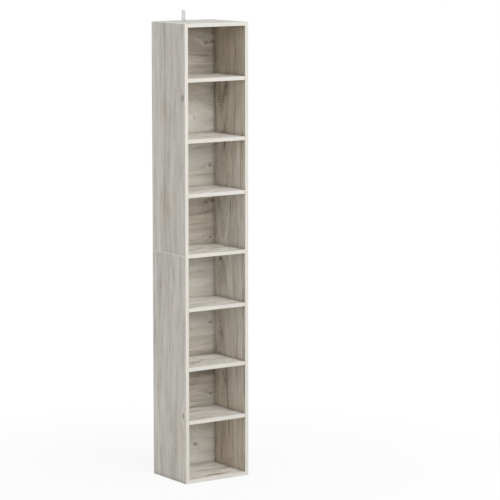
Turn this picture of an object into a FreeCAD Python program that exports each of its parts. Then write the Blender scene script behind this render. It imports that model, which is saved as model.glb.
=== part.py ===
import FreeCAD, Part
import os

from FreeCAD import Vector

# Narrow bookshelf: a tall flat-pack tower of open compartments, one above the other.
# Millimetres. +Z is up, the open front faces -Y, and the origin is on the floor under the middle.
# Boards are drawn for the right-hand end, and the left-hand end is its mirror image.

# Overall sizes, without the wall bracket
WIDTH = 295.0
DEPTH = 236.0
HEIGHT = 1800.0

# Sheet materials
BOARD = 15.0  # particleboard of the sides, top, bottom and shelves
BACK = 3.0  # hardboard of the back panels
BAND = 1.0  # plastic band on the edges that show
BAND_ROUND = 0.5  # rounding along a band's front edges

# Compartments: a low one over a tall one makes a pair, and the pairs repeat down each half
PAIRS_PER_HALF = 2
LOW_OPENING = 196.0

# Shelves
SHELF_SETBACK = 1.0  # behind the front of the sides
SHELF_END_PLAY = 0.75  # between a loose shelf and each side
SHELF_REAR_GAP = 0.9  # between a shelf and the strip that joins the back panels

# Grooves for the back panels
REAR_LIP = 15.0  # board behind the groove
GROOVE_DEPTH = 5.0
GROOVE_PLAY = 0.4  # in front of a back panel, and past its ends

# H-shaped strip that joins the back panels
STRIP_WALL = 1.0
STRIP_WEB = 1.5
STRIP_HEIGHT = 14.0
STRIP_PLAY = 0.1  # between a flange and a back panel
STRIP_END_PLAY = 0.5  # between the strip and each seam plate

# Dowels
DOWEL_RADIUS = 4.0
DOWEL_PLAY = 0.1  # all round a dowel
DOWEL_REACH = 20.0  # into the end of a board
DOWEL_END_GAP = 1.0  # past the end of a dowel
BORE_SKIN = 4.0  # board left behind a blind bore in a side
PANEL_DOWEL_EDGE = 85.0  # from the front and rear edges
MIDDLE_DOWEL_EDGE = 30.0
SEAM_DOWEL_EDGE = 85.0

# Cam fittings that pull the top and bottom against the sides
CAM_EDGE = 48.0  # from the front and rear edges
CAM_INSET = 34.0  # from the end of the board
CAM_RADIUS = 7.5
CAM_PLAY = 0.15
CAM_SKIN = 2.5  # board left over a cam pocket
CAM_SLOT_WIDTH = 1.6
CAM_SLOT_DEPTH = 2.0
CAM_SLOT_RIM = 2.0  # disc left at each end of the driver slot
CAM_COVER_RADIUS = 9.5
CAM_COVER = 0.8
BOLT_RADIUS = 2.5
BOLT_HEAD_RADIUS = 3.4
BOLT_HEAD = 3.0
BOLT_COLLAR = 2.0
BOLT_END_BORE = 4.0  # radius of the bore in the end of the board
BOLT_PLAY = 0.1  # round the thread in the side
BOLT_HEAD_ROOM = 0.4  # round the head in the cam disc

# Shelf pins with a flat tongue
PIN_EDGE = 37.0  # from the front and rear edges of a shelf
PIN_RADIUS = 2.5
PIN_LENGTH = 8.0
PIN_PLAY = 0.05
PIN_END_GAP = 1.0
PIN_COLLAR_RADIUS = 4.0
PIN_COLLAR = 1.2
PIN_COLLAR_DROP = 0.3  # top of the collar below the shelf
TONGUE_LENGTH = 10.0
TONGUE_WIDTH = 8.0
TONGUE = 2.0
TONGUE_ROUND = 3.0

# Plates that tie the side halves together behind the back panels
PLATE = 1.5
PLATE_WIDTH = 10.0
PLATE_HEIGHT = 80.0
PLATE_ROUND = 3.0
PLATE_SCREWS_PER_HALF = 2
PLATE_SCREW_FIRST = 15.0  # from the seam
PLATE_SCREW_PITCH = 16.0

# Screws: a shank, and a domed head with a cross slot
SCREW_RADIUS = 1.75
SCREW_LENGTH = 11.0
SCREW_PLAY = 0.05
SCREW_HEAD_RADIUS = 3.4
SCREW_HEAD = 1.8
SCREW_HEAD_ROUND = 1.2
SCREW_SLOT_WIDTH = 0.8
SCREW_SLOT_RIM = 1.2
SCREW_SLOT_DEPTH = 1.0

# Wall bracket on the rear edge of the top
BRACKET = 1.8
BRACKET_WIDTH = 16.0
BRACKET_RISE = 40.0  # above the top
BRACKET_FOOT = 24.0  # from the rear edge forwards
BRACKET_BEND = 2.0  # inside the bend
BRACKET_ROUND = 6.0  # corners
WALL_HOLE_RADIUS = 2.75
WALL_HOLE_RISE = 16.0
FOOT_HOLE_EDGE = 10.0  # from the front of the foot

# Rules for all the pieces
ROUND_SHARE = 0.9  # a rounding takes at most this share of its wall
TOUCH = 1e-6  # points closer than this are the same

# Faces and levels that follow from these
FRONT = -DEPTH / 2
REAR = DEPTH / 2
SIDE_OUT = WIDTH / 2
SIDE_IN = SIDE_OUT - BOARD
SEAM = HEIGHT / 2
TALL_OPENING = (SEAM - BOARD / 2) / PAIRS_PER_HALF - 2 * BOARD - LOW_OPENING
COMPARTMENTS_PER_HALF = 2 * PAIRS_PER_HALF

GROOVE_REAR = REAR - REAR_LIP
BACK_FRONT = GROOVE_REAR - BACK
GROOVE_FRONT = BACK_FRONT - GROOVE_PLAY
GROOVE_BOTTOM = BOARD - GROOVE_DEPTH
GROOVE_TOP = HEIGHT - BOARD + GROOVE_DEPTH
STRIP_FRONT = BACK_FRONT - STRIP_PLAY - STRIP_WALL
STRIP_REAR = GROOVE_REAR + STRIP_PLAY + STRIP_WALL

SHELF_FRONT = FRONT + SHELF_SETBACK
SHELF_REAR = STRIP_FRONT - SHELF_REAR_GAP

BORE_DEPTH = BOARD - BORE_SKIN
CAM_X = SIDE_IN - CAM_INSET
PLATE_Y = (GROOVE_REAR + REAR) / 2
PIN_DROP = PIN_COLLAR_DROP + PIN_COLLAR_RADIUS
FOOT_HOLE_Y = REAR - BRACKET_FOOT + FOOT_HOLE_EDGE

RIGHT = Vector(1, 0, 0)
LEFT = Vector(-1, 0, 0)
BACKWARD = Vector(0, 1, 0)
UP = Vector(0, 0, 1)
DOWN = Vector(0, 0, -1)


def box(x, y, z):
    """A block between two values along each axis."""
    corner = Vector(x[0], y[0], z[0])
    return Part.makeBox(x[1] - x[0], y[1] - y[0], z[1] - z[0], corner)


def rod(start, way, length, radius):
    """A round bar that leaves start along way."""
    return Part.makeCylinder(radius, length, start, way)


def mirrored(solid):
    """The same piece at the left-hand end."""
    return solid.mirror(Vector(), RIGHT)


def both_ends(solids):
    """Right-hand pieces together with their mirror images."""
    return solids + [mirrored(solid) for solid in solids]


def cut(solid, tools):
    """The solid with every tool taken out of it."""
    return solid.cut(Part.makeCompound(tools)).removeSplitter()


def joined(solids):
    """One piece made of solids that touch or overlap."""
    return solids[0].multiFuse(solids[1:]).removeSplitter()


def edges_along(solid, way, where):
    """The straight edges that run along way and whose middle passes the test."""
    found = []
    for edge in solid.Edges:
        run = edge.lastVertex().Point - edge.firstVertex().Point
        straight = abs(abs(run.dot(way)) - edge.Length) < TOUCH
        if straight and where(edge.CenterOfMass):
            found.append(edge)
    return found


def export(name, solids):
    """Writes one node, a single solid or a group of like solids."""
    shape = solids[0] if len(solids) == 1 else Part.makeCompound(solids)
    shape.exportStep(os.path.join("parts", name + ".step"))


def board_levels():
    """Undersides of the boards below the top, from the highest shelf down to the bottom panel."""
    levels = []
    level = HEIGHT - BOARD
    for number in range(2 * COMPARTMENTS_PER_HALF):
        opening = LOW_OPENING if number % 2 == 0 else TALL_OPENING
        level -= opening + BOARD
        levels.append(level)
    return levels


def loose_levels():
    """Undersides of the shelves that rest on pins."""
    levels = board_levels()
    middle = COMPARTMENTS_PER_HALF - 1
    return levels[:middle] + levels[middle + 1 : -1]


def edge_pair(edge):
    """Two places across the depth, as far from the front edge as from the rear one."""
    return (FRONT + edge, REAR - edge)


def panel_middles():
    """Heights of the middle of the bottom panel and of the top panel."""
    return (BOARD / 2, HEIGHT - BOARD / 2)


def pin_places():
    """Places across the depth of the front and rear shelf pins."""
    return (SHELF_FRONT + PIN_EDGE, SHELF_REAR - PIN_EDGE)


def middle_dowel_places():
    """Places across the depth of the middle shelf's dowels."""
    return (SHELF_FRONT + MIDDLE_DOWEL_EDGE, SHELF_REAR - MIDDLE_DOWEL_EDGE)


def plate_screw_levels():
    """Heights of the screws of a seam plate."""
    steps = [PLATE_SCREW_FIRST + PLATE_SCREW_PITCH * number for number in range(PLATE_SCREWS_PER_HALF)]
    return [SEAM + sign * step for sign in (-1, 1) for step in steps]


# Bores and grooves in the sides


def back_groove():
    """Room for the back panels, down the inner face of a side."""
    y = (GROOVE_FRONT, GROOVE_REAR)
    return box((SIDE_IN, SIDE_IN + GROOVE_DEPTH), y, (GROOVE_BOTTOM, GROOVE_TOP))


def pin_bores():
    """Blind bores for the shelf pins."""
    depth = PIN_LENGTH + PIN_END_GAP
    places = [Vector(SIDE_IN, y, level - PIN_DROP) for level in loose_levels() for y in pin_places()]
    return [rod(place, RIGHT, depth, PIN_RADIUS + PIN_PLAY) for place in places]


def cross_bores(places, levels, radius):
    """Blind bores in a side for what comes out of a board's end."""
    starts = [Vector(SIDE_IN, y, level) for level in levels for y in places]
    return [rod(start, RIGHT, BORE_DEPTH, radius) for start in starts]


def seam_bores():
    """Bores for the upright dowels that line up the side halves."""
    reach = DOWEL_REACH + DOWEL_END_GAP
    starts = [Vector(SIDE_IN + BOARD / 2, y, SEAM - reach) for y in edge_pair(SEAM_DOWEL_EDGE)]
    return [rod(start, UP, 2 * reach, DOWEL_RADIUS + DOWEL_PLAY) for start in starts]


def plate_screw_bores():
    """Bores for the screws of a seam plate."""
    starts = [Vector(SIDE_IN, PLATE_Y, level) for level in plate_screw_levels()]
    return [rod(start, RIGHT, SCREW_LENGTH, SCREW_RADIUS + SCREW_PLAY) for start in starts]


def side_tools():
    """Everything that is cut out of a side."""
    dowel = DOWEL_RADIUS + DOWEL_PLAY
    tools = [back_groove()]
    tools += pin_bores()
    tools += cross_bores(edge_pair(CAM_EDGE), panel_middles(), BOLT_RADIUS + BOLT_PLAY)
    tools += cross_bores(edge_pair(PANEL_DOWEL_EDGE), panel_middles(), dowel)
    tools += cross_bores(middle_dowel_places(), [SEAM], dowel)
    tools += seam_bores()
    tools += plate_screw_bores()
    return tools


# Boards


def side_board(low, high, tools):
    """Part of a side between two heights."""
    return cut(box((SIDE_IN, SIDE_OUT), (FRONT + BAND, REAR), (low, high)), tools)


def end_bores(places, levels, depth, radius):
    """Bores in the end of a board, at the right-hand side."""
    starts = [Vector(SIDE_IN, y, level) for level in levels for y in places]
    return [rod(start, LEFT, depth, radius) for start in starts]


def cam_pocket(y, underside):
    """Room for a cam disc in the underside of a board."""
    return rod(Vector(CAM_X, y, underside), UP, BOARD - CAM_SKIN, CAM_RADIUS + CAM_PLAY)


def end_panel(underside, groove_z):
    """The top or the bottom, between the sides."""
    middle = underside + BOARD / 2
    tools = end_bores(edge_pair(CAM_EDGE), [middle], CAM_INSET, BOLT_END_BORE)
    tools += end_bores(
        edge_pair(PANEL_DOWEL_EDGE), [middle], DOWEL_REACH + DOWEL_END_GAP, DOWEL_RADIUS + DOWEL_PLAY
    )
    tools += [cam_pocket(y, underside) for y in edge_pair(CAM_EDGE)]
    tools = both_ends(tools)
    tools.append(box((-SIDE_IN, SIDE_IN), (GROOVE_FRONT, GROOVE_REAR), groove_z))
    blank = box((-SIDE_IN, SIDE_IN), (FRONT + BAND, REAR), (underside, underside + BOARD))
    return cut(blank, tools)


def top_panel():
    """The top, with a bore for the bracket's screw."""
    underside = HEIGHT - BOARD
    start = Vector(0, FOOT_HOLE_Y, HEIGHT)
    bore = rod(start, DOWN, SCREW_LENGTH - BRACKET, SCREW_RADIUS + SCREW_PLAY)
    return cut(end_panel(underside, (underside, GROOVE_TOP)), [bore])


def bottom_panel():
    """The bottom, which lies on the floor."""
    return end_panel(0, (GROOVE_BOTTOM, BOARD))


def middle_shelf():
    """The fixed shelf behind the seam of the sides."""
    reach = DOWEL_REACH + DOWEL_END_GAP
    bores = end_bores(middle_dowel_places(), [SEAM], reach, DOWEL_RADIUS + DOWEL_PLAY)
    z = (SEAM - BOARD / 2, SEAM + BOARD / 2)
    return cut(box((-SIDE_IN, SIDE_IN), (SHELF_FRONT + BAND, SHELF_REAR), z), both_ends(bores))


def loose_shelf(level):
    """A shelf that rests on its pins."""
    end = SIDE_IN - SHELF_END_PLAY
    return box((-end, end), (SHELF_FRONT + BAND, SHELF_REAR), (level, level + BOARD))


# Edge bands


def front_band(x, front, z, way):
    """A band on a front edge, rounded along way."""
    blank = box(x, (front, front + BAND), z)
    edges = edges_along(blank, way, lambda middle: middle.y < front + BAND / 2)
    return blank.makeFillet(min(BAND_ROUND, ROUND_SHARE * BAND), edges)


def end_band(low, tools):
    """A band on the end of a side half."""
    return side_board(low, low + BAND, tools)


# Back


def back_panel(low, high):
    """A hardboard sheet in the grooves of the sides."""
    end = SIDE_IN + GROOVE_DEPTH - GROOVE_PLAY
    return box((-end, end), (BACK_FRONT, GROOVE_REAR), (low, high))


def joiner_strip():
    """The H-shaped strip between the two back panels."""
    end = SIDE_IN - PLATE - STRIP_END_PLAY
    x = (-end, end)
    z = (SEAM - STRIP_HEIGHT / 2, SEAM + STRIP_HEIGHT / 2)
    web = box(x, (STRIP_FRONT, STRIP_REAR), (SEAM - STRIP_WEB / 2, SEAM + STRIP_WEB / 2))
    front_flange = box(x, (STRIP_FRONT, STRIP_FRONT + STRIP_WALL), z)
    rear_flange = box(x, (STRIP_REAR - STRIP_WALL, STRIP_REAR), z)
    return joined([web, front_flange, rear_flange])


# Fittings


def cross_slot(place, way, span, width, depth):
    """A driver's cross, sunk into a face at place and along way, with its arms across the other two axes."""
    across = [axis for axis in (RIGHT, BACKWARD, UP) if abs(axis.dot(way)) < TOUCH]
    arms = []
    for along, other in (across, across[::-1]):
        size = along * span + other * width + Vector(abs(way.x), abs(way.y), abs(way.z)) * depth
        low = place + way * (depth / 2) - size / 2
        arms.append(Part.makeBox(size.x, size.y, size.z, low))
    return joined(arms)


def cam_bolt(y, level):
    """A bolt screwed into a side, with a collar against it and a head inside the cam disc."""
    thread = rod(Vector(SIDE_IN, y, level), RIGHT, BORE_DEPTH, BOLT_RADIUS)
    shank = rod(Vector(CAM_X, y, level), RIGHT, CAM_INSET, BOLT_RADIUS)
    collar = rod(Vector(SIDE_IN - BOLT_COLLAR, y, level), RIGHT, BOLT_COLLAR, BOLT_HEAD_RADIUS)
    head = rod(Vector(CAM_X - BOLT_HEAD / 2, y, level), RIGHT, BOLT_HEAD, BOLT_HEAD_RADIUS)
    return joined([thread, shank, collar, head])


def cam_disc(y, underside):
    """A cam disc, hollow round the bolt's head and slotted for a driver."""
    centre = Vector(CAM_X, y, underside)
    disc = rod(centre, UP, BOARD - CAM_SKIN, CAM_RADIUS)
    start = Vector(CAM_X - BOLT_HEAD / 2 - BOLT_HEAD_ROOM, y, underside + BOARD / 2)
    hollow = rod(start, RIGHT, 2 * CAM_RADIUS, BOLT_HEAD_RADIUS + BOLT_HEAD_ROOM)
    span = 2 * (CAM_RADIUS - CAM_SLOT_RIM)
    slot = cross_slot(centre, UP, span, CAM_SLOT_WIDTH, CAM_SLOT_DEPTH)
    return cut(disc, [hollow, slot])


def cam_cover(y):
    """A stick-on cover over a cam disc in the underside of the top."""
    return rod(Vector(CAM_X, y, HEIGHT - BOARD), DOWN, CAM_COVER, CAM_COVER_RADIUS)


def end_dowel(y, level):
    """A dowel from the foot of its bore in a side into the end of a board."""
    start = Vector(SIDE_IN + BORE_DEPTH, y, level)
    return rod(start, LEFT, BORE_DEPTH + DOWEL_REACH, DOWEL_RADIUS)


def seam_dowel(y):
    """An upright dowel that stands in the lower half of a side and reaches into the upper half."""
    reach = DOWEL_REACH + DOWEL_END_GAP
    start = Vector(SIDE_IN + BOARD / 2, y, SEAM - reach)
    return rod(start, UP, reach + DOWEL_REACH, DOWEL_RADIUS)


def shelf_pin(y, level):
    """A steel pin with a collar against the side and a flat tongue under the shelf."""
    axis = level - PIN_DROP
    pin = rod(Vector(SIDE_IN, y, axis), RIGHT, PIN_LENGTH, PIN_RADIUS)
    collar = rod(Vector(SIDE_IN, y, axis), LEFT, PIN_COLLAR, PIN_COLLAR_RADIUS)
    inner = SIDE_IN - TONGUE_LENGTH
    half = TONGUE_WIDTH / 2
    tongue = box((inner, SIDE_IN), (y - half, y + half), (level - TONGUE, level))
    corners = edges_along(tongue, UP, lambda middle: middle.x < inner + TONGUE_LENGTH / 2)
    tongue = tongue.makeFillet(min(TONGUE_ROUND, ROUND_SHARE * half), corners)
    return joined([pin, collar, tongue])


def screw(seat, way):
    """A screw whose head sits on seat and whose shank leaves along way."""
    shank = rod(seat, way, SCREW_LENGTH, SCREW_RADIUS)
    head = rod(seat, way * -1, SCREW_HEAD, SCREW_HEAD_RADIUS)
    crown = seat - way * SCREW_HEAD
    rim = [edge for edge in head.Edges if abs((edge.CenterOfMass - crown).dot(way)) < TOUCH]
    head = head.makeFillet(min(SCREW_HEAD_ROUND, ROUND_SHARE * SCREW_HEAD), rim)
    span = 2 * (SCREW_HEAD_RADIUS - SCREW_SLOT_RIM)
    slot = cross_slot(crown, way, span, SCREW_SLOT_WIDTH, SCREW_SLOT_DEPTH)
    return cut(joined([shank, head]), [slot])


def seam_plate():
    """A steel plate over the seam, behind the back panels."""
    y = (PLATE_Y - PLATE_WIDTH / 2, PLATE_Y + PLATE_WIDTH / 2)
    z = (SEAM - PLATE_HEIGHT / 2, SEAM + PLATE_HEIGHT / 2)
    blank = box((SIDE_IN - PLATE, SIDE_IN), y, z)
    corner = min(PLATE_ROUND, ROUND_SHARE * PLATE_WIDTH / 2)
    plate = blank.makeFillet(corner, edges_along(blank, RIGHT, lambda middle: True))
    starts = [Vector(SIDE_IN - PLATE, PLATE_Y, level) for level in plate_screw_levels()]
    holes = [rod(start, RIGHT, PLATE, SCREW_RADIUS + SCREW_PLAY) for start in starts]
    return cut(plate, holes)


def wall_bracket():
    """A bent steel strip: a foot on the top, and a leg up the wall with one hole."""
    half = BRACKET_WIDTH / 2
    x = (-half, half)
    foot_front = REAR - BRACKET_FOOT
    crest = HEIGHT + BRACKET_RISE
    foot = box(x, (foot_front, REAR), (HEIGHT, HEIGHT + BRACKET))
    leg = box(x, (REAR - BRACKET, REAR), (HEIGHT, crest))
    corner = min(BRACKET_ROUND, ROUND_SHARE * half)
    foot = foot.makeFillet(corner, edges_along(foot, UP, lambda middle: middle.y < REAR - BRACKET))
    leg = leg.makeFillet(corner, edges_along(leg, BACKWARD, lambda middle: middle.z > crest - BRACKET))
    strip = joined([foot, leg])
    inside = edges_along(strip, RIGHT, lambda middle: on_line(middle, REAR - BRACKET, HEIGHT + BRACKET))
    strip = strip.makeFillet(BRACKET_BEND, inside)
    outside = edges_along(strip, RIGHT, lambda middle: on_line(middle, REAR, HEIGHT))
    strip = strip.makeFillet(BRACKET_BEND + BRACKET, outside)
    wall_hole = rod(Vector(0, REAR - BRACKET, HEIGHT + WALL_HOLE_RISE), BACKWARD, BRACKET, WALL_HOLE_RADIUS)
    foot_hole = rod(Vector(0, FOOT_HOLE_Y, HEIGHT), UP, BRACKET, SCREW_RADIUS + SCREW_PLAY)
    return cut(strip, [wall_hole, foot_hole])


def on_line(point, y, z):
    """Whether a point is on the line across the width at this depth and height."""
    return abs(point.y - y) < TOUCH and abs(point.z - z) < TOUCH


# Nodes


def export_sides():
    """The four side halves with their front bands, and the bands on their ends."""
    tools = side_tools()
    halves = {
        "lower": (0, SEAM - BAND, 0, SEAM),
        "upper": (SEAM + BAND, HEIGHT - BAND, SEAM, HEIGHT),
    }
    for half, (low, high, band_low, band_high) in halves.items():
        board = side_board(low, high, tools)
        band = front_band((SIDE_IN, SIDE_OUT), FRONT, (band_low, band_high), UP)
        export("side_right_" + half, [board])
        export("side_left_" + half, [mirrored(board)])
        export("band_side_right_" + half, [band])
        export("band_side_left_" + half, [mirrored(band)])
    ends = [end_band(low, tools) for low in (SEAM - BAND, SEAM, HEIGHT - BAND)]
    export("side_end_bands", both_ends(ends))


def export_fixed_boards():
    """The top, the bottom and the middle shelf with their bands, and the back."""
    export("top_panel", [top_panel()])
    export("bottom_panel", [bottom_panel()])
    export("middle_shelf", [middle_shelf()])
    bands = {
        "band_top_panel": (FRONT, HEIGHT - BOARD),
        "band_bottom_panel": (FRONT, 0),
        "band_middle_shelf": (SHELF_FRONT, SEAM - BOARD / 2),
    }
    for name, (front, underside) in bands.items():
        export(name, [front_band((-SIDE_IN, SIDE_IN), front, (underside, underside + BOARD), RIGHT)])
    export("back_panel_lower", [back_panel(GROOVE_BOTTOM, SEAM - STRIP_WEB / 2)])
    export("back_panel_upper", [back_panel(SEAM + STRIP_WEB / 2, GROOVE_TOP - GROOVE_PLAY)])
    export("back_joiner_strip", [joiner_strip()])


def export_loose_shelves():
    """The loose shelves, counted from the top, each with its band and its pins."""
    end = SIDE_IN - SHELF_END_PLAY
    for number, level in enumerate(loose_levels(), start=1):
        band = front_band((-end, end), SHELF_FRONT, (level, level + BOARD), RIGHT)
        export(f"shelf_{number}", [loose_shelf(level)])
        export(f"band_shelf_{number}", [band])
        export(f"shelf_pins_{number}", both_ends([shelf_pin(y, level) for y in pin_places()]))


def export_fittings():
    """Cam fittings, dowels, seam plates, wall bracket and screws."""
    cams = edge_pair(CAM_EDGE)
    undersides = (0, HEIGHT - BOARD)
    export("cam_bolts", both_ends([cam_bolt(y, level) for level in panel_middles() for y in cams]))
    export("cam_discs", both_ends([cam_disc(y, underside) for underside in undersides for y in cams]))
    export("cam_covers", both_ends([cam_cover(y) for y in cams]))
    dowels = [end_dowel(y, level) for level in panel_middles() for y in edge_pair(PANEL_DOWEL_EDGE)]
    export("panel_dowels", both_ends(dowels))
    export("middle_shelf_dowels", both_ends([end_dowel(y, SEAM) for y in middle_dowel_places()]))
    export("seam_dowels", both_ends([seam_dowel(y) for y in edge_pair(SEAM_DOWEL_EDGE)]))
    plate = seam_plate()
    export("seam_plate_right", [plate])
    export("seam_plate_left", [mirrored(plate)])
    seats = [Vector(SIDE_IN - PLATE, PLATE_Y, level) for level in plate_screw_levels()]
    export("seam_plate_screws", both_ends([screw(seat, RIGHT) for seat in seats]))
    export("wall_bracket", [wall_bracket()])
    export("bracket_screw", [screw(Vector(0, FOOT_HOLE_Y, HEIGHT + BRACKET), DOWN)])


os.makedirs("parts", exist_ok=True)
export_sides()
export_fixed_boards()
export_loose_shelves()
export_fittings()
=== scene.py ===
import math
from collections import namedtuple

import bmesh
import bpy
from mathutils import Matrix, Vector


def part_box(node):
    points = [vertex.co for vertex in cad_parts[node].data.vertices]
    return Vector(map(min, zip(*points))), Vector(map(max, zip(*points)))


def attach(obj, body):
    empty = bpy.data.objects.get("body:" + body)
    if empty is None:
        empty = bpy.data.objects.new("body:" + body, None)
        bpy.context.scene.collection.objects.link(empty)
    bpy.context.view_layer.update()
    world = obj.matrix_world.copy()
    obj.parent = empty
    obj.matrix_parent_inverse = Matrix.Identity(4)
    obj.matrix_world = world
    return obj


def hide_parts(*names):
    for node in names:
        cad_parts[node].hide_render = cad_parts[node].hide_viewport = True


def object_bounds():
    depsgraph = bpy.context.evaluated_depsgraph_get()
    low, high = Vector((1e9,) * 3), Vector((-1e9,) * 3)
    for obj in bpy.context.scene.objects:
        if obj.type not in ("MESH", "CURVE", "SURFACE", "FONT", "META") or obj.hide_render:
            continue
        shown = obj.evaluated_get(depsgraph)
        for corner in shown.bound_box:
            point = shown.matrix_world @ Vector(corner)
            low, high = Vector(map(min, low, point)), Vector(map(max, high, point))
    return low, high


# Narrow bookshelf: the finishes of its boards and fittings, the studio and the camera.
# Metres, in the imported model's frame: +Z is up and the open front faces -Y.

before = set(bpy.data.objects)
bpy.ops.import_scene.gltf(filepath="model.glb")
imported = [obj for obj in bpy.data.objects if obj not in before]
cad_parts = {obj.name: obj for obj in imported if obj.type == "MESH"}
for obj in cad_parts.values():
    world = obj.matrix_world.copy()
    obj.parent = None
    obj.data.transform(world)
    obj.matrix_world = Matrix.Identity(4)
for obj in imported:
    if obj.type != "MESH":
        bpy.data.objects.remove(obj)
cad_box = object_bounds()

# The curve between a screen's levels and light: a straight foot, and a power past it
SCREEN_LEVELS = 255
FOOT_TOP = 0.04045
FOOT_SLOPE = 12.92
CURVE_OFFSET = 0.055
CURVE_POWER = 2.4


def light(level):
    """The share of full light that a screen gives at one of its levels."""
    share = level / SCREEN_LEVELS
    if share <= FOOT_TOP:
        return share / FOOT_SLOPE
    return ((share + CURVE_OFFSET) / (1 + CURVE_OFFSET)) ** CURVE_POWER


def ink(red, green, blue):
    """A colour in a screen's levels, from 0 to 255, as the linear colour that a shader takes."""
    return light(red), light(green), light(blue), 1.0


# Camera, at the photograph's viewing angle
CAMERA_PLACE = (-5.500, -8.359, 2.310)
CAMERA_YAW = math.radians(34.46)
CAMERA_PITCH = math.radians(8.01)
CAMERA_LENS = 184.7

# Studio
WHITE = (1.0, 1.0, 1.0, 1.0)
AMBIENT = 0.60
FLOOR_SIZE = 60.0
FLOOR_INK = ink(240, 240, 239)
FLOOR_GLOW = 0.88
FLOOR_FADE = (0.4, 1.6)
KEY_PLACE = (0.2, -5.4, 4.2)
KEY_SIZE = 5.0
KEY_POWER = 225.0

# Grain directions, as turns that bring a board's grain to X, its width to Y and its thickness to Z
UPRIGHT = (0.0, math.radians(90), 0.0)
LENGTHWISE = (0.0, 0.0, 0.0)
BACKWALL = (math.radians(-90), 0.0, 0.0)
DEPTHWISE = (0.0, 0.0, math.radians(-90))

# Inks of the oak print, from the darkest grain to the whitest wash, and of its knots
OAK_INKS = (
    (0.00, ink(112, 102, 89)),
    (0.22, ink(166, 159, 149)),
    (0.42, ink(203, 200, 193)),
    (0.72, ink(232, 231, 227)),
    (1.00, ink(250, 249, 246)),
)
KNOT_INK = ink(104, 91, 76)

# Inks of the other finishes, from the darkest to the palest
CHIP_INKS = ((0.0, ink(120, 90, 60)), (0.45, ink(176, 144, 104)), (1.0, ink(214, 188, 150)))
HARDBOARD_INKS = ((0.0, ink(92, 66, 46)), (0.5, ink(126, 95, 68)), (1.0, ink(152, 120, 90)))
BAND_INKS = ((0.0, ink(190, 186, 176)), (0.5, ink(213, 210, 202)), (1.0, ink(226, 224, 218)))
END_BAND_INKS = ((0.0, ink(232, 230, 224)), (1.0, ink(250, 249, 246)))
BEECH_INKS = ((0.0, ink(168, 128, 88)), (1.0, ink(222, 190, 150)))
STEEL_INKS = ((0.0, ink(150, 152, 154)), (1.0, ink(214, 215, 214)))
ZINC_INKS = ((0.0, ink(128, 130, 132)), (1.0, ink(176, 178, 180)))
PLASTIC_INKS = ((0.0, ink(214, 212, 206)), (1.0, ink(232, 230, 225)))
POWDER_INKS = ((0.0, ink(196, 196, 194)), (1.0, ink(214, 214, 212)))

# Tints that multiply the print: plain and duskier boards, shelves made paler as painted light from above,
# its warm patches, and painted shade in its nooks
PLAIN = WHITE
SHELF_PAINTED_LIGHT = (1.37, 1.39, 1.42, 1.0)
DUSKY = (0.94, 0.94, 0.95, 1.0)
WARM_PATCH = (1.0, 0.955, 0.905, 1.0)
NOOK_PAINTED_SHADE = (0.50, 0.48, 0.46, 1.0)
NOOK_REACH = 0.018
NOOK_SAMPLES = 8

# Painted light on inner faces: a warm tint for bounce light, on walls towards both ends and on backs in the
# bands of their print, and painted shade that deepens both between two heights
WALL_PAINTED_BOUNCE = (0.985, 0.900, 0.800, 1.0)
WALL_COOLEST_AT = 0.86
WALL_WARMEST_PAST = 0.90
WALL_TOP_SHADE = 1.0
BACK_PAINTED_BOUNCE = (0.985, 0.953, 0.900, 1.0)
BACK_TOP_SHADE = 0.45
TOP_PAINTED_SHADE = (0.84, 0.84, 0.83, 1.0)
TOP_SHADE_HEIGHTS = (1.28, 1.62)

# A grain in a surface: its spots to a metre along each axis, how finely and how roughly they break up, their
# strength, which is how far they lighten the surface unless a heading says otherwise, and how far they
# roughen and raise it
Grain = namedtuple(
    "Grain", "spots detail breakup strength roughens raises", defaults=(2.0, 0.5, 0.0, 0.0, 0.0)
)
NOISE_MEAN = 0.5


def mark(length, width, detail, breakup, strength, roughens=0.0, raises=0.0):
    """A grain of the print, from how long and how wide its marks are in metres."""
    return Grain((1 / length, 1 / width, 1.0), detail, breakup, strength, roughens, raises)


# Marks of the print, and the print itself
TONE = mark(1.100, 0.0420, 3.0, 0.50, 0.75)
STREAK = mark(0.450, 0.0220, 4.0, 0.60, 0.75)
STROKE = mark(0.120, 0.0160, 3.0, 0.60, 0.55)
FIBRE = mark(0.070, 0.0016, 3.0, 0.70, 0.50, roughens=0.20, raises=0.5)
WASH = mark(0.200, 0.0600, 5.0, 0.65, 0.45, roughens=-0.08)
DARK_STREAK = mark(0.150, 0.0100, 3.0, 0.60, -0.36)
PORE = mark(0.017, 0.0008, 1.0, 0.50, -0.40, roughens=0.10, raises=-0.6)
SAW_PATCH = mark(0.090, 0.0550, 2.0, 0.50, 0.11, raises=0.2)
PRINT_LIFT = 0.67
PRINT_SPAN = 1.38
PRINT_ROUGHNESS = 0.50
PRINT_RELIEF = 0.00025

# Marks whose strength is how far they tint the print, by how many metres they bend its rings, or how far
# they fray a knot
TINT = mark(0.300, 0.0450, 2.0, 0.50, 0.70)
SWAY = mark(0.620, 0.1700, 2.0, 0.50, 0.050)
RIPPLE = mark(0.140, 0.0330, 2.0, 0.50, 0.008)
KNOT_RAGGED = mark(0.010, 0.0050, 2.0, 0.60, 3.4)

# Growth rings, the share of them that shows where they lie steep, and of the pores where the wood is late
RING_GAP = 0.0085
RING_FEATHER = 0.60
RING_STRENGTH = -0.12
STEEP_RING_SHARE = 0.3
LATE_PORE_SHARE = 0.4

# Marks of the saw across the grain, how far they wander, and how much of them shows on a finely sawn board
SAW_PITCH = 0.0105
SAW_WANDER = 6.0
FINE_SAW = 0.25

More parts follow.
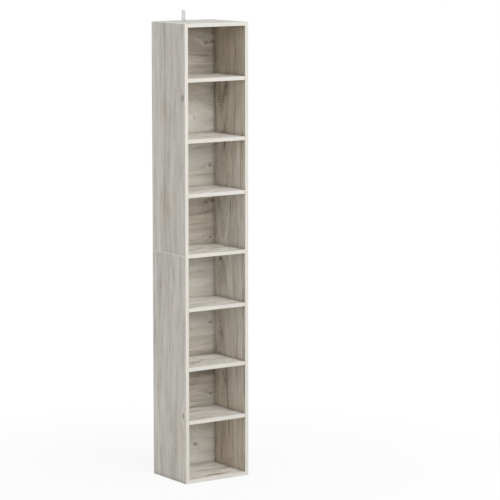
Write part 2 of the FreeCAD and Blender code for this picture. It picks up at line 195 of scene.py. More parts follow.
# Where a mark that comes and goes begins to show, and where it shows whole
EARLY_WOOD_SHOWS = (-0.25, 0.15)
DARK_STREAK_SHOWS = (0.06, 0.24)
PORE_SHOWS = (0.08, 0.22)
SAW_SHOWS = (0.08, 0.20)
TINT_SHOWS = (-0.15, 0.15)
KNOT_SHOWS = (0.15, 0.85)
SPECK_SHOWS = (0.93, 1.00)

# How far a surface faces along an axis where a board's edge ends, and where its face begins
FACE_BEGINS = (0.6, 0.8)

# How a board was cut from its print: where the heart of the log lies across it, how deep below the face, how
# fast the heart comes nearer along the grain, a shift that gives each board a print of its own, how bold its
# streaks are, the tint over it, its knots, and how much of the saw shows
Figure = namedtuple("Figure", "turn heart depth climb shift bold tint knots sawn", defaults=((), 1.0))
Knot = namedtuple("Knot", "along across radius")
KNOT_STRETCH = 1.6
KNOT_SWELL = 3.2
KNOT_SHARE = 0.60
UPPER_SIDE_KNOTS = (Knot(1.513, -0.104, 0.0080),)
LOWER_SIDE_KNOTS = (Knot(0.270, -0.098, 0.0080),)

# How far apart in the print a board's two faces lie, and the two halves of a face about the heart
FACE_SPREAD = 40.0
HALF_SPREAD = 14.0

# The back's print is taller than one turn of its roller, so its tone and knots come again above each other
BACK_REPEAT = 0.634
BACK_DARKEST = 1.660
BACK_SWING = 0.17
BACK_LIFT = -0.040
BACK_KNOTS = (
    Knot(0.095, 0.442, 0.0080),
    Knot(0.124, 0.446, 0.0090),
    Knot(0.112, 0.589, 0.0060),
    Knot(0.112, 0.300, 0.0055),
)
BOTTOM_KNOT = Knot(0.038, 0.099, 0.0070)


def back_knots(first, past):
    """The knots of a back panel, from one turn of the roller up to another."""
    return [
        Knot(knot.along, knot.across + BACK_REPEAT * turn, knot.radius)
        for turn in range(first, past)
        for knot in BACK_KNOTS
    ]


UPPER_BACK_KNOTS = back_knots(1, 3)
LOWER_BACK_KNOTS = back_knots(0, 1) + [BOTTOM_KNOT]
# Shelves, the bottom panel and the middle shelf are made paler, as painted light from above
FIGURES = {
    "side_left_upper": Figure(UPRIGHT, -0.200, 0.090, -0.03, 3.02, 0.75, PLAIN, UPPER_SIDE_KNOTS, FINE_SAW),
    "side_left_lower": Figure(UPRIGHT, 0.200, 0.040, 0.04, 6.48, 0.75, PLAIN, LOWER_SIDE_KNOTS, FINE_SAW),
    "side_right_upper": Figure(UPRIGHT, 0.045, 0.160, -0.08, 5.63, 1.2, PLAIN),
    "side_right_lower": Figure(UPRIGHT, 0.050, 0.020, 0.07, 8.26, 1.3, PLAIN),
    "top_panel": Figure(LENGTHWISE, 0.160, 0.080, 0.06, 9.1, 1.0, DUSKY),
    "bottom_panel": Figure(LENGTHWISE, -0.060, 0.050, 0.10, 14.38, 1.7, SHELF_PAINTED_LIGHT),
    "middle_shelf": Figure(LENGTHWISE, 0.020, 0.060, 0.10, 13.93, 1.7, SHELF_PAINTED_LIGHT),
    "shelf_1": Figure(LENGTHWISE, 0.150, 0.070, 0.10, 16.13, 1.7, SHELF_PAINTED_LIGHT),
    "shelf_2": Figure(LENGTHWISE, -0.040, 0.050, 0.12, 18.49, 1.7, SHELF_PAINTED_LIGHT),
    "shelf_3": Figure(LENGTHWISE, 0.060, 0.060, -0.10, 20.76, 1.7, SHELF_PAINTED_LIGHT),
    "shelf_4": Figure(LENGTHWISE, -0.150, 0.050, 0.08, 24.41, 1.7, SHELF_PAINTED_LIGHT),
    "shelf_5": Figure(LENGTHWISE, 0.010, 0.070, 0.11, 26.06, 1.7, SHELF_PAINTED_LIGHT),
    "shelf_6": Figure(LENGTHWISE, 0.090, 0.050, -0.12, 29.62, 1.7, SHELF_PAINTED_LIGHT),
    "back_panel_upper": Figure(BACKWALL, 1.420, 0.050, 0.15, 28.56, 0.65, PLAIN, UPPER_BACK_KNOTS),
    "back_panel_lower": Figure(BACKWALL, 0.160, 0.040, -0.15, 30.92, 0.65, PLAIN, LOWER_BACK_KNOTS),
}

# Coats of raw board, bands and fittings: their inks, how far up these their tone lies, how rough they are,
# the depth of their relief, and whether they are metal
Coat = namedtuple("Coat", "inks tone roughness relief metallic", defaults=(0.0, 0.0))
CHIP_CORE = Coat(CHIP_INKS, 0.20, 0.85)
HARDBOARD = Coat(HARDBOARD_INKS, 0.50, 0.80)
BAND = Coat(BAND_INKS, 0.55, 0.38, 0.00012)
END_BAND = Coat(END_BAND_INKS, 0.55, 0.38, 0.00012)
BEECH = Coat(BEECH_INKS, 0.50, 0.62)
STEEL = Coat(STEEL_INKS, 0.50, 0.32, 0.00002, 1.0)
ZINC = Coat(ZINC_INKS, 0.50, 0.45, 0.00005, 1.0)
WHITE_PLASTIC = Coat(PLASTIC_INKS, 0.50, 0.45, 0.00003)
WHITE_STEEL = Coat(POWDER_INKS, 0.50, 0.32, 0.00003)

# Grains of particleboard and hardboard
CHIPS = Grain((520.0, 520.0, 700.0), strength=0.7, raises=1.0)
CHIP_DUST = Grain(3 * (1500.0,), strength=0.4, roughens=0.1, raises=1.0)
CHIP_PATCHES = Grain(3 * (60.0,), strength=0.3)
BOARD_CLOUDS = Grain(3 * (14.0,), 4.0, 0.6, 0.5)
BOARD_FIBRES = Grain((260.0, 260.0, 700.0), 3.0, 0.7, 0.55, 0.15, 1.0)
BOARD_SPECKS = Grain(3 * (330.0,), strength=-0.35, raises=-0.4)

# Grains of bands and fittings
BAND_GRAINS = (
    Grain((3.0, 60.0, 60.0), 3.0, strength=0.6),
    Grain((7.0, 420.0, 420.0), 3.0, 0.6, 0.45, 0.15, 1.0),
    Grain((30.0, 1500.0, 1500.0), strength=0.2, raises=1.0),
)
BEECH_GRAINS = (Grain(3 * (700.0,), strength=0.9, roughens=0.2),)
METAL_GRAINS = (
    Grain(3 * (160.0,), 3.0, strength=0.7, roughens=0.15),
    Grain(3 * (2600.0,), strength=0.3, roughens=0.1, raises=1.0),
)
WHITE_GRAINS = (
    Grain(3 * (90.0,), 3.0, strength=0.8, roughens=0.1),
    Grain(3 * (900.0,), 1.0, raises=1.0),
)

# Turned fittings: their sides, the angle past which an edge is sharp, and the gap that joins two corners
TURNED_SIDES = 48
SHARP_EDGE = math.radians(40)
MERGE_GAP = 0.00001

# Dowels
DOWEL_FLUTES = 12
DOWEL_FLUTE = 0.0004
DOWEL_CHAMFER = 0.0010
FLUTE_RUN_OUT = 0.0020

# Screws, with a recess that fades out between two shares of the head's height
SCREW_HEAD = 0.0018
SCREW_PITCH = 0.0013
SCREW_TIP = 0.0025
RECESS_WIDTH = 0.0009
RECESS_SPAN = 0.0044
RECESS_DEPTH = 0.0010
RECESS_SLOPE = 0.0003
RECESS_FADE = (0.3, 0.5)
THREAD_DEPTH = 0.28

# Cam bolts, with a neck as a share of the stem, which ends and widens out so many heads from the top
CAM_RADIUS = 0.0075
BOLT_HEAD = 0.0030
BOLT_COLLAR = 0.0020
BOLT_PITCH = 0.0016
BOLT_TIP = 0.0020
BOLT_NECK = 0.65
NECK_END = 2.0
NECK_SHOULDER = 2.5

# Rings of the mesh along the stretches of a turned outline
EDGE_RINGS = 1
FACE_RINGS = 2
DOWEL_RINGS = 12
SCREW_THREAD_RINGS = 64
SCREW_TIP_RINGS = 8
BOLT_STEM_RINGS = 4
BOLT_THREAD_RINGS = 40
BOLT_TIP_RINGS = 4

# Heads, as the rings of the mesh up to each point, and the point's shares of the head's radius and height
PAN_HEAD = ((8, 0.60, 0.05), (2, 0.86, 0.22), (2, 1.00, 0.62), (1, 1.00, 1.00))
BOLT_KNOB = ((3, 0.80, 0.00), (2, 1.00, 0.30), (1, 1.00, 0.70))


# Node trees


def pick(sockets, key):
    """A socket by its number, its identifier or its name."""
    if isinstance(key, int):
        return sockets[key]
    return next(socket for socket in sockets if key in (socket.identifier, socket.name))


class Wire:
    """An output of a node. Arithmetic on it adds Math nodes to its tree."""

    def __init__(self, net, socket):
        self.net = net
        self.socket = socket

    def out(self, key):
        """Another output of the same node."""
        return Wire(self.net, pick(self.socket.node.outputs, key))

    def math(self, operation, *values):
        return self.net.node("ShaderNodeMath", {"operation": operation}, dict(enumerate(values)))

    def __add__(self, other):
        return self.math("ADD", self, other)

    def __sub__(self, other):
        return self.math("SUBTRACT", self, other)

    def __rsub__(self, other):
        return self.math("SUBTRACT", other, self)

    def __mul__(self, other):
        return self.math("MULTIPLY", self, other)

    def __truediv__(self, other):
        return self.math("DIVIDE", self, other)

    def __rtruediv__(self, other):
        return self.math("DIVIDE", other, self)

    def __pow__(self, other):
        return self.math("POWER", self, other)

    def __rpow__(self, other):
        return self.math("POWER", other, self)

    def __abs__(self):
        return self.math("ABSOLUTE", self)

    __radd__ = __add__
    __rmul__ = __mul__

    def fraction(self):
        return self.math("FRACT", self)

    def cosine(self):
        return self.math("COSINE", self)

    def sine(self):
        return self.math("SINE", self)

    def larger(self, other):
        return self.math("MAXIMUM", self, other)

    def above(self, least):
        """A share from 0 to 1, squeezed into the room from least to 1."""
        return least + (1 - least) * self

    def ramp(self, low, high):
        """A straight rise from 0 at low to 1 at high."""
        return self.net.node("ShaderNodeMapRange", {}, {"Value": self, "From Min": low, "From Max": high})

    def step(self, low, high):
        """A smooth rise from 0 at low to 1 at high."""
        sockets = {"Value": self, "From Min": low, "From Max": high}
        return self.net.node("ShaderNodeMapRange", {"interpolation_type": "SMOOTHSTEP"}, sockets)


class Net:
    """A node tree, and the one way to add a node to it."""

    def __init__(self, tree):
        self.tree = tree
        self.tree.nodes.clear()

    def node(self, kind, settings=(), sockets=(), out=0):
        """Adds a node with its settings, and its sockets' values or links. Gives one of its outputs."""
        node = self.tree.nodes.new(kind)
        for name, value in dict(settings).items():
            if name == "stops":
                self.set_stops(node.color_ramp, value)
            else:
                setattr(node, name, value)
        for key, value in dict(sockets).items():
            socket = pick(node.inputs, key)
            if isinstance(value, Wire):
                self.tree.links.new(value.socket, socket)
            else:
                socket.default_value = value
        return Wire(self, pick(node.outputs, out)) if node.outputs else None

    @staticmethod
    def set_stops(ramp, stops):
        """Gives a colour ramp its stops, from left to right."""
        while len(ramp.elements) < len(stops):
            ramp.elements.new(1.0)
        for element, (place, colour) in zip(ramp.elements, stops):
            element.position = place
            element.color = colour

    def ramp(self, value, stops):
        """The colour that a value has among the stops."""
        return self.node("ShaderNodeValToRGB", {"stops": stops}, {"Fac": value})

    def blend(self, factor, first, second, mode="MIX"):
        """A colour between two others."""
        settings = {"data_type": "RGBA", "blend_type": mode, "clamp_result": True}
        sockets = {"Factor_Float": factor, "A_Color": first, "B_Color": second}
        return self.node("ShaderNodeMix", settings, sockets, "Result_Color")

    def stretch(self, place, grain):
        """A place, counted in the spots of a grain."""
        return self.node("ShaderNodeVectorMath", {"operation": "MULTIPLY"}, {0: place, 1: grain.spots})

    def noise(self, place, grain):
        """The noise of a grain about its mean, from -0.5 to 0.5."""
        spots = self.stretch(place, grain)
        sockets = {"Vector": spots, "Scale": 1.0, "Detail": grain.detail, "Roughness": grain.breakup}
        return self.node("ShaderNodeTexNoise", {}, sockets) - NOISE_MEAN

    def cells(self, place, grain):
        """A random value from 0 to 1 for each spot of a grain."""
        spots = self.stretch(place, grain)
        colour = self.node("ShaderNodeTexVoronoi", {}, {"Vector": spots, "Scale": 1.0}, "Color")
        return self.node("ShaderNodeSeparateColor", {}, {"Color": colour})

    def place(self, turn, shift=0.0):
        """Object coordinates, turned so that the grain runs along X."""
        where = self.node("ShaderNodeTexCoord", out="Object")
        sockets = {"Vector": where, "Rotation": turn, "Location": (0.0, 0.0, shift)}
        return self.node("ShaderNodeMapping", {"vector_type": "POINT"}, sockets)

    def level(self):
        """How high a place is above the floor."""
        where = self.node("ShaderNodeTexCoord", out="Object")
        return self.node("ShaderNodeSeparateXYZ", {}, {"Vector": where}, "Z")

    def facing(self, axis):
        """How far a surface faces along an axis, from -1 to 1."""
        normal = self.node("ShaderNodeTexCoord", out="Normal")
        return self.node("ShaderNodeSeparateXYZ", {}, {"Vector": normal}, axis)

    def nook(self, reach):
        """How shut in a place is by what stands within reach of it, from 0 to 1."""
        settings = {"samples": NOOK_SAMPLES}
        return 1 - self.node("ShaderNodeAmbientOcclusion", settings, {"Distance": reach}, "AO")

    def bump(self, height, depth):
        """A normal for relief of this depth."""
        return self.node("ShaderNodeBump", {}, {"Height": height, "Strength": 1.0, "Distance": depth})


def finish(name, paint):
    """A material whose Principled sockets come from a function that takes its net."""
    material = bpy.data.materials.new(name)
    material.use_nodes = True
    net = Net(material.node_tree)
    shader = net.node("ShaderNodeBsdfPrincipled", {}, paint(net))
    net.node("ShaderNodeOutputMaterial", {}, {"Surface": shader})
    return material


# Surfaces: their colour, their roughness, and the height of their relief

Surface = namedtuple("Surface", "colour roughness height")


def layered(base, layers, effect):
    """A base value with the noise of each grain on it, as strongly as the grain has this effect."""
    parts = [(noise, getattr(grain, effect)) for noise, grain in layers]
    return sum((noise * share for noise, share in parts if share), base)


def coated(net, coat, layers):
    """The surface of a coat with layers of noise and their grains in it."""
    colour = net.ramp(layered(coat.tone, layers, "strength"), coat.inks)
    return Surface(colour, layered(coat.roughness, layers, "roughens"), layered(0.0, layers, "raises"))


def chip_core(net):
    """A raw particleboard edge."""
    place = net.place(LENGTHWISE)
    chips = net.cells(place, CHIPS)
    dust = net.noise(place, CHIP_DUST)
    patches = net.noise(place, CHIP_PATCHES)
    return coated(net, CHIP_CORE, [(chips, CHIPS), (dust, CHIP_DUST), (patches, CHIP_PATCHES)])


def hardboard(net):
    """The raw face of a hardboard sheet."""
    place = net.place(LENGTHWISE)
    clouds = net.noise(place, BOARD_CLOUDS)
    fibres = net.noise(place, BOARD_FIBRES)
    specks = net.cells(place, BOARD_SPECKS).step(*SPECK_SHOWS)
    return coated(net, HARDBOARD, [(clouds, BOARD_CLOUDS), (fibres, BOARD_FIBRES), (specks, BOARD_SPECKS)])


def ring_field(net, place, figure):
    """A place in the print, its way along it and from the heart, how flat the rings lie, and the knots."""
    parts = net.node("ShaderNodeSeparateXYZ", {}, {"Vector": place})
    along, across, through = parts, parts.out("Y"), parts.out("Z")
    sway = net.noise(place, SWAY) * SWAY.strength
    ripple = net.noise(place, RIPPLE) * RIPPLE.strength
    sideways = across - figure.heart + sway + ripple
    below = figure.depth + figure.climb * along + sway
    rings = (sideways * sideways + below * below) ** 0.5
    flatness = (below / rings) ** 2.0
    knots = None
    ragged = 1 + net.noise(place, KNOT_RAGGED) * KNOT_RAGGED.strength
    for knot in figure.knots:
        aside = across - knot.across + ripple
        ahead = (along - knot.along + ripple) / KNOT_STRETCH
        reach = (aside * aside + ahead * ahead) / knot.radius**2
        core = math.e ** (reach * ragged * -1.0)
        swell = math.e ** (reach * (-1 / KNOT_SWELL**2))
        rings = rings + swell * (KNOT_SWELL * knot.radius)
        knots = core if knots is None else knots.larger(core)
    sockets = {"X": along, "Y": rings, "Z": through * FACE_SPREAD + sideways * HALF_SPREAD}
    grain = net.node("ShaderNodeCombineXYZ", {}, sockets)
    return grain, along, rings, flatness, knots


def oak_print(net, figure, lift=0.0):
    """A whitewashed grey oak print."""
    place = net.place(figure.turn, figure.shift)
    grain, along, rings, flatness, knots = ring_field(net, place, figure)
    tone = net.noise(grain, TONE)
    streak = net.noise(grain, STREAK)
    stroke = net.noise(grain, STROKE)
    fibre = net.noise(grain, FIBRE)
    wash = net.noise(place, WASH)
    phase = (rings / RING_GAP + streak).fraction()
    early_wood = (1 - phase.step(0.0, RING_FEATHER)) * flatness.above(STEEP_RING_SHARE)
    early_wood = early_wood * (tone + wash).step(*EARLY_WOOD_SHOWS)
    dark_streak = net.noise(grain, DARK_STREAK).step(*DARK_STREAK_SHOWS)
    pores = net.noise(grain, PORE).step(*PORE_SHOWS) * early_wood.above(LATE_PORE_SHARE)
    saw_wave = (along * (2 * math.pi / SAW_PITCH) + streak * SAW_WANDER).cosine()
    saw_marks = saw_wave * net.noise(place, SAW_PATCH).step(*SAW_SHOWS) * figure.sawn
    streaks = [(streak, STREAK), (stroke, STROKE), (dark_streak, DARK_STREAK)]
    bold = layered(early_wood * RING_STRENGTH, streaks, "strength") * figure.bold
    layers = [(tone, TONE), (fibre, FIBRE), (wash, WASH), (pores, PORE), (saw_marks, SAW_PATCH)]
    value = layered(PRINT_LIFT + lift + bold, layers, "strength")
    colour = net.ramp(value / PRINT_SPAN, OAK_INKS)
    # The board's tint, which on the shelves is painted light from above
    colour = net.blend(1.0, colour, figure.tint, "MULTIPLY")
    warmth = net.noise(place, TINT).step(*TINT_SHOWS) * TINT.strength
    colour = net.blend(warmth, colour, WARM_PATCH, "MULTIPLY")
    if knots is not None:
        colour = net.blend(knots.step(*KNOT_SHOWS) * KNOT_SHARE, colour, KNOT_INK)
    # Painted shade: the print darkens in creases and corners, where nearby parts and the floor shut a place
    # in
    colour = net.blend(net.nook(NOOK_REACH), colour, NOOK_PAINTED_SHADE, "MULTIPLY")
    return Surface(colour, layered(PRINT_ROUGHNESS, layers, "roughens"), layered(0.0, layers, "raises"))


def painted_bounce_and_shade(net, colour, tint, warmth, depth):
    """A print with a warm tint by one share, painted for bounce light, and painted shade deeper towards the
    top of the bookshelf by another.
    """
    colour = net.blend(warmth, colour, tint, "MULTIPLY")
    return net.blend(net.level().step(*TOP_SHADE_HEIGHTS) * depth, colour, TOP_PAINTED_SHADE, "MULTIPLY")


# Finishes


def two_faced(net, share, raw, printed):
    """Principled sockets for a board that is raw where a share is 0 and printed where it is 1."""
    colour = net.blend(share, raw.colour, printed.colour)
    roughness = raw.roughness * (1 - share) + printed.roughness * share
    height = raw.height * (1 - share) + printed.height * share
    return {"Base Color": colour, "Roughness": roughness, "Normal": net.bump(height, PRINT_RELIEF)}


def side_finish(name, figure):
    """Oak print on both faces of a side, with painted warm bounce light and painted shade inside, and raw
    particleboard on its edges and in bores.
    """
    inward = 1 if "left" in name else -1

    def paint(net):
        facing = net.facing("X")
        printed = oak_print(net, figure)
        warmth = abs(net.level() - WALL_COOLEST_AT) / WALL_WARMEST_PAST
        # Inner faces: painted warm bounce light, and painted shade towards the top
        inner = painted_bounce_and_shade(net, printed.colour, WALL_PAINTED_BOUNCE, warmth, WALL_TOP_SHADE)
        colour = net.blend((facing * inward).step(*FACE_BEGINS), printed.colour, inner)
        share = abs(facing).step(*FACE_BEGINS)
        return two_faced(net, share, chip_core(net), printed._replace(colour=colour))

    return finish("oak_print_" + name, paint)


def shelf_finish(name, figure):
    """Oak print on the top and underside of a shelf, and raw particleboard on its edges and in bores."""

    def paint(net):
        share = abs(net.facing("Z")).step(*FACE_BEGINS)
        return two_faced(net, share, chip_core(net), oak_print(net, figure))

    return finish("oak_print_" + name, paint)


def back_finish(name, figure):
    """Oak print on the front of a back panel, in bands of tone, with painted warm bounce light in the same
    bands and painted shade towards the top, and raw hardboard behind it.
    """

    def paint(net):
        band = ((net.level() - BACK_DARKEST) * (2 * math.pi / BACK_REPEAT)).cosine()
        printed = oak_print(net, figure, BACK_LIFT - band * BACK_SWING)
        # Painted warm bounce light in the print's bands, and painted shade towards the top
        colour = painted_bounce_and_shade(net, printed.colour, BACK_PAINTED_BOUNCE, (1 + band) / 2, BACK_TOP_SHADE)
        share = (net.facing("Y") * -1.0).step(*FACE_BEGINS)
        return two_faced(net, share, hardboard(net), printed._replace(colour=colour))

    return finish("oak_print_" + name, paint)


def coat_finish(name, coat, grains, turn=LENGTHWISE):
    """A coat that is the same on every side, with its grains in it."""

    def paint(net):
        place = net.place(turn)
        surface = coated(net, coat, [(net.noise(place, grain), grain) for grain in grains])
        sockets = {"Base Color": surface.colour, "Metallic": coat.metallic, "Roughness": surface.roughness}
        if coat.relief:
            sockets["Normal"] = net.bump(surface.height, coat.relief)
        return sockets

    return finish(name, paint)


# Fittings that repeat, turned in Geometry Nodes from their outlines

# How a turned solid lies: the middle of its thicker end, the way it runs, its length, and its radii
Stance = namedtuple("Stance", "start way length wide slim")

# A point of an outline: the rings of the mesh up to it from the point before, and its radius and height
Stop = namedtuple("Stop", "rings radius height")
AXIS = Stop(0, 0.0, 0.0)


def solids(name):
    """The corners of each separate solid of a CAD node, from a merged copy of its mesh."""
    copy = bmesh.new()
    copy.from_mesh(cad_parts[name].data)
    bmesh.ops.remove_doubles(copy, verts=copy.verts, dist=MERGE_GAP)
    waiting = set(copy.verts)
    found = []
    while waiting:
        queue = [waiting.pop()]
        corners = []
        while queue:
            corner = queue.pop()
            corners.append(tuple(corner.co))
            near = {edge.other_vert(corner) for edge in corner.link_edges} & waiting
            waiting -= near
            queue += near
        found.append(sorted(corners))
    copy.free()
    return sorted(found)


def stance(corners):
    """How a turned solid lies, from its corners."""
    low = Vector([min(column) for column in zip(*corners)])
    high = Vector([max(column) for column in zip(*corners)])
    sizes = high - low
    axis = max(range(3), key=lambda side: sizes[side])
    way = Vector([float(side == axis) for side in range(3)])
    middle = (low + high) / 2

    def girth(level):
        arms = [Vector(corner) - middle for corner in corners if abs(corner[axis] - level) < MERGE_GAP]
        return max((arm - way * arm.dot(way)).length for arm in arms)

    ends = girth(low[axis]), girth(high[axis])
    if ends[1] > ends[0] + MERGE_GAP:
        way = -way
    wide = max(sizes[side] for side in range(3) if side != axis) / 2
    return Stance(middle - way * (sizes[axis] / 2), way, sizes[axis], wide, min(ends))


def dowel_outline(size):
    """The outline of a dowel with chamfered ends."""
    radius, length = size["Radius"], size["Length"]
    end = radius - DOWEL_CHAMFER
    return [
        Stop(FACE_RINGS, end, 0.0),
        Stop(EDGE_RINGS, radius, DOWEL_CHAMFER),
        Stop(DOWEL_RINGS, radius, length - DOWEL_CHAMFER),
        Stop(EDGE_RINGS, end, length),
        Stop(FACE_RINGS, 0.0, length),
    ]


def flutes(size, radius, height, angle):
    """Glue flutes pressed along a dowel, short of its ends."""
    run_out = DOWEL_CHAMFER, DOWEL_CHAMFER + FLUTE_RUN_OUT
    middle = height.step(*run_out) * (size["Length"] - height).step(*run_out)
    groove = (angle * DOWEL_FLUTES).cosine().larger(0.0)
    return radius - groove * middle * DOWEL_FLUTE, height


def head_outline(head, size):
    """The outline of a head, from its middle to its rim."""
    return [Stop(rings, size["Head Radius"] * out, size["Head Height"] * down) for rings, out, down in head]


def screw_outline(size):
    """The outline of a pan-head screw, from the middle of its head to its tip."""
    slim, length = size["Radius"], size["Length"]
    return head_outline(PAN_HEAD, size) + [
        Stop(FACE_RINGS, slim, size["Head Height"]),
        Stop(SCREW_THREAD_RINGS, slim, length - SCREW_TIP),
        Stop(SCREW_TIP_RINGS, 0.0, length),
    ]


def thread(radius, height, angle, pitch, start):
    """A radius with a thread cut into it past the start."""
    turn = (height / pitch + angle / (2 * math.pi)).fraction()
    groove = abs(turn * 2 - 1) * height.step(start, start + pitch)
    return radius * (1 - groove * THREAD_DEPTH)


def screw_thread(size, radius, height, angle):
    """A screw's thread, and the cross recess in its head."""
    ahead = abs(radius * angle.cosine())
    aside = abs(radius * angle.sine())
    recess = None
    for width, span in ((ahead, aside), (aside, ahead)):
        slot = 1 - width.step(RECESS_WIDTH / 2, RECESS_WIDTH / 2 + RECESS_SLOPE)
        slot = slot * (1 - span.step(RECESS_SPAN / 2 - RECESS_SLOPE, RECESS_SPAN / 2))
        recess = slot if recess is None else recess.larger(slot)
    head = size["Head Height"]
    on_top = 1 - height.step(*[head * share for share in RECESS_FADE])
    return thread(radius, height, angle, size["Pitch"], head), height + recess * on_top * RECESS_DEPTH


def bolt_outline(size):
    """The outline of a cam bolt, from its head to the end of its thread."""
    wide, slim, head = size["Head Radius"], size["Radius"], size["Head Height"]
    seat, length = size["Seat"], size["Length"]
    neck = slim * BOLT_NECK
    collar = seat - BOLT_COLLAR
    return head_outline(BOLT_KNOB, size) + [
        Stop(FACE_RINGS, neck, head),
        Stop(EDGE_RINGS, neck, head * NECK_END),
        Stop(FACE_RINGS, slim, head * NECK_SHOULDER),
        Stop(BOLT_STEM_RINGS, slim, collar),
        Stop(EDGE_RINGS, wide, collar),
        Stop(FACE_RINGS, wide, seat),
        Stop(FACE_RINGS, slim, seat),
        Stop(BOLT_THREAD_RINGS, slim, length - BOLT_TIP),
        Stop(BOLT_TIP_RINGS, 0.0, length),
    ]


def bolt_thread(size, radius, height, angle):
    """The thread of a cam bolt, past its collar."""
    return thread(radius, height, angle, size["Pitch"], size["Seat"]), height


def turned_tree(name, labels, outline, carve):
    """A tree that turns a fitting from its outline, carves it and sets one at each point, along its way."""
    tree = bpy.data.node_groups.new(name, "GeometryNodeTree")
    tree.interface.new_socket("Geometry", in_out="OUTPUT", socket_type="NodeSocketGeometry")
    tree.interface.new_socket("Places", in_out="INPUT", socket_type="NodeSocketGeometry")
    tree.interface.new_socket("Finish", in_out="INPUT", socket_type="NodeSocketMaterial")
    for label in labels:
        tree.interface.new_socket(label, in_out="INPUT", socket_type="NodeSocketFloat")
    net = Net(tree)
    given = net.node("NodeGroupInput")
    size = {label: given.out(label) for label in labels}
    stops = [AXIS, *outline(size)]
    rings = sum(stop.rings for stop in stops)
    sockets = {"Segments": TURNED_SIDES, "Rings": rings, "Radius": 1.0}
    ball = net.node("GeometryNodeMeshUVSphere", {}, sockets)
    parts = net.node("ShaderNodeSeparateXYZ", {}, {"Vector": net.node("GeometryNodeInputPosition")})
    across, aside, up = parts, parts.out("Y"), parts.out("Z")
    ring = up.math("ARCCOSINE", up * -1.0) * (rings / math.pi)
    passed, radius, height = AXIS
    for before, after in zip(stops, stops[1:]):
        rise = ring.ramp(passed, passed + after.rings)
        radius = radius + rise * (after.radius - before.radius)
        height = height + rise * (after.height - before.height)
        passed += after.rings
    radius, height = carve(size, radius, height, aside.math("ARCTAN2", aside, across))
    spread = radius / (across * across + aside * aside) ** 0.5
    place = net.node("ShaderNodeCombineXYZ", {}, {"X": across * spread, "Y": aside * spread, "Z": height})
    shape = net.node("GeometryNodeSetPosition", {}, {"Geometry": ball, "Position": place})
    way = net.node("GeometryNodeInputNamedAttribute", {"data_type": "FLOAT_VECTOR"}, {"Name": "way"})
    turn = net.node("FunctionNodeAlignRotationToVector", {"axis": "Z"}, {"Vector": way})
    sockets = {"Points": given.out("Places"), "Instance": shape, "Rotation": turn}
    copies = net.node("GeometryNodeInstanceOnPoints", {}, sockets)
    whole = net.node("GeometryNodeRealizeInstances", {}, {"Geometry": copies})
    dressed = net.node("GeometryNodeSetMaterial", {}, {"Geometry": whole, "Material": given.out("Finish")})
    net.node("NodeGroupOutput", {}, {"Geometry": dressed})
    return tree


def set_turned(name, tree, sizes, material):
    """Turned fittings in the place of the solids of a CAD node."""
    stances = [stance(corners) for corners in solids(name)]
    places = bpy.data.meshes.new("places_" + name)
    places.from_pydata([one.start for one in stances], [], [])
    ways = places.attributes.new("way", "FLOAT_VECTOR", "POINT")
    for entry, one in zip(ways.data, stances):
        entry.vector = one.way
    piece = bpy.data.objects.new("turned_" + name, places)
    bpy.context.scene.collection.objects.link(piece)
    modifier = piece.modifiers.new("turning", "NODES")
    modifier.node_group = tree
    first = stances[0]
    values = {"Head Radius": first.wide, "Radius": first.slim, "Length": first.length, "Finish": material}
    values.update(sizes)
    for item in tree.interface.items_tree:
        if item.in_out == "INPUT" and item.name in values:
            modifier[item.identifier] = values[item.name]
    evaluated = piece.evaluated_get(bpy.context.evaluated_depsgraph_get())
    turned = bpy.data.meshes.new_from_object(evaluated)
    piece.modifiers.remove(modifier)
    piece.data = turned
    # The empty slot that a mesh primitive starts with
    turned.materials.pop(index=0)
    turned.shade_smooth()
    turned.set_sharp_from_angle(angle=SHARP_EDGE)
    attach(piece, "carcass")
    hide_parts(name)


# Dressing


def dress(material, *nodes):
    """Gives CAD nodes a finish."""
    for name in nodes:
        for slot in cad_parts[name].material_slots:
            slot.material = material


def dress_boards():
    """The boards, each with a print of its own, and the bands on their edges."""
    makers = {UPRIGHT: side_finish, LENGTHWISE: shelf_finish, BACKWALL: back_finish}
    for name, figure in FIGURES.items():
        dress(makers[figure.turn](name, figure), name)
    bands = [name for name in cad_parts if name.startswith("band_")]
    upright = [name for name in bands if name.startswith("band_side_")]
    lengthwise = [name for name in bands if name not in upright]
    dress(coat_finish("edge_band_upright", BAND, BAND_GRAINS, UPRIGHT), *upright)
    dress(coat_finish("edge_band_lengthwise", BAND, BAND_GRAINS, LENGTHWISE), *lengthwise)
    dress(coat_finish("edge_band_depthwise", END_BAND, BAND_GRAINS, DEPTHWISE), "side_end_bands")


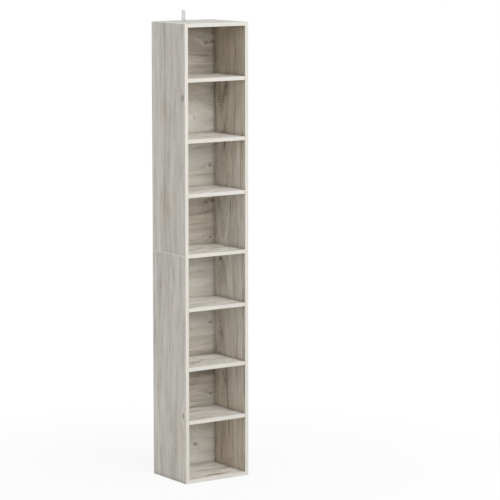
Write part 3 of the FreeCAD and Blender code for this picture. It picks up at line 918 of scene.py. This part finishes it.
def dress_fittings():
    """Dowels, pins, cam fittings, plates, screws, the joiner strip and the wall bracket."""
    steel = coat_finish("bright_steel_plating", STEEL, METAL_GRAINS)
    beech = coat_finish("planed_beech", BEECH, BEECH_GRAINS)
    pins = [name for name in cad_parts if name.startswith("shelf_pins_")]
    dress(steel, "seam_plate_left", "seam_plate_right", *pins)
    dress(coat_finish("cast_zinc", ZINC, METAL_GRAINS), "cam_discs")
    dress(coat_finish("extruded_white", WHITE_PLASTIC, WHITE_GRAINS), "back_joiner_strip")
    dress(coat_finish("powder_coat_white", WHITE_STEEL, WHITE_GRAINS), "wall_bracket")
    dress(bpy.data.materials["oak_print_top_panel"], "cam_covers")
    dowel = turned_tree("fluted_dowel", ("Radius", "Length"), dowel_outline, flutes)
    screw_labels = ("Head Radius", "Head Height", "Radius", "Length", "Pitch")
    screw = turned_tree("cross_head_screw", screw_labels, screw_outline, screw_thread)
    bolt = turned_tree("cam_bolt", screw_labels + ("Seat",), bolt_outline, bolt_thread)
    for name in ("panel_dowels", "middle_shelf_dowels", "seam_dowels"):
        set_turned(name, dowel, {}, beech)
    for name in ("seam_plate_screws", "bracket_screw"):
        set_turned(name, screw, {"Head Height": SCREW_HEAD, "Pitch": SCREW_PITCH}, steel)
    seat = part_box("top_panel")[1].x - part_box("cam_discs")[1].x + CAM_RADIUS + BOLT_HEAD / 2
    bolt_sizes = {"Head Height": BOLT_HEAD, "Pitch": BOLT_PITCH, "Seat": seat}
    set_turned("cam_bolts", bolt, bolt_sizes, steel)


# Studio


def seen_directly(net):
    """1 for rays from the camera, off a gloss or through glass, and 0 for the rest."""
    path = net.node("ShaderNodeLightPath")
    indirect = path.out("Is Glossy Ray").larger(path.out("Is Transmission Ray"))
    return path.out("Is Camera Ray").larger(indirect)


def white_world():
    """White to look at, and a soft even light."""
    world = bpy.data.worlds.new("studio")
    world.use_nodes = True
    net = Net(world.node_tree)
    soft = net.node("ShaderNodeBackground", {}, {"Color": WHITE, "Strength": AMBIENT})
    plain = net.node("ShaderNodeBackground", {}, {"Color": WHITE, "Strength": 1.0})
    both = net.node("ShaderNodeMixShader", {}, {0: seen_directly(net), 1: soft, 2: plain})
    net.node("ShaderNodeOutputWorld", {}, {"Surface": both})
    bpy.context.scene.world = world


def white_floor():
    """A pale floor that shows the bookshelf's shadow and fades to the white of the background."""
    half = FLOOR_SIZE / 2
    corners = [(-half, -half, 0), (half, -half, 0), (half, half, 0), (-half, half, 0)]
    mesh = bpy.data.meshes.new("floor")
    mesh.from_pydata(corners, [], [(0, 1, 2, 3)])
    floor = bpy.data.objects.new("floor", mesh)
    bpy.context.scene.collection.objects.link(floor)
    material = bpy.data.materials.new("floor")
    material.use_nodes = True
    net = Net(material.node_tree)
    where = net.node("ShaderNodeTexCoord", out="Object")
    away = net.node("ShaderNodeVectorMath", {"operation": "LENGTH"}, {0: where}, "Value")
    paper = net.node("ShaderNodeBsdfDiffuse", {}, {"Color": FLOOR_INK})
    glow = net.node("ShaderNodeEmission", {}, {"Color": WHITE, "Strength": 1.0})
    share = away.step(*FLOOR_FADE).above(FLOOR_GLOW) * seen_directly(net)
    both = net.node("ShaderNodeMixShader", {}, {0: share, 1: paper, 2: glow})
    net.node("ShaderNodeOutputMaterial", {}, {"Surface": both})
    mesh.materials.append(material)


def soft_box(name, place, size, power):
    """A square lamp that faces the middle of the bookshelf."""
    lamp = bpy.data.lights.new(name, "AREA")
    lamp.size = size
    lamp.energy = power
    holder = bpy.data.objects.new(name, lamp)
    holder.location = place
    middle = (Vector(cad_box[0]) + Vector(cad_box[1])) / 2
    holder.rotation_euler = (middle - Vector(place)).to_track_quat("-Z", "Y").to_euler()
    bpy.context.scene.collection.objects.link(holder)


def photo_camera():
    """A camera that sees the bookshelf as the photograph does."""
    camera = bpy.data.cameras.new("camera")
    camera.lens = CAMERA_LENS
    camera.clip_end = 2 * FLOOR_SIZE
    holder = bpy.data.objects.new("camera", camera)
    holder.location = CAMERA_PLACE
    holder.rotation_euler = (math.pi / 2 - CAMERA_PITCH, 0, -CAMERA_YAW)
    bpy.context.scene.collection.objects.link(holder)
    bpy.context.scene.camera = holder


dress_boards()
dress_fittings()
white_world()
white_floor()
soft_box("key", KEY_PLACE, KEY_SIZE, KEY_POWER)
photo_camera()
bpy.context.scene.view_settings.view_transform = "Standard"
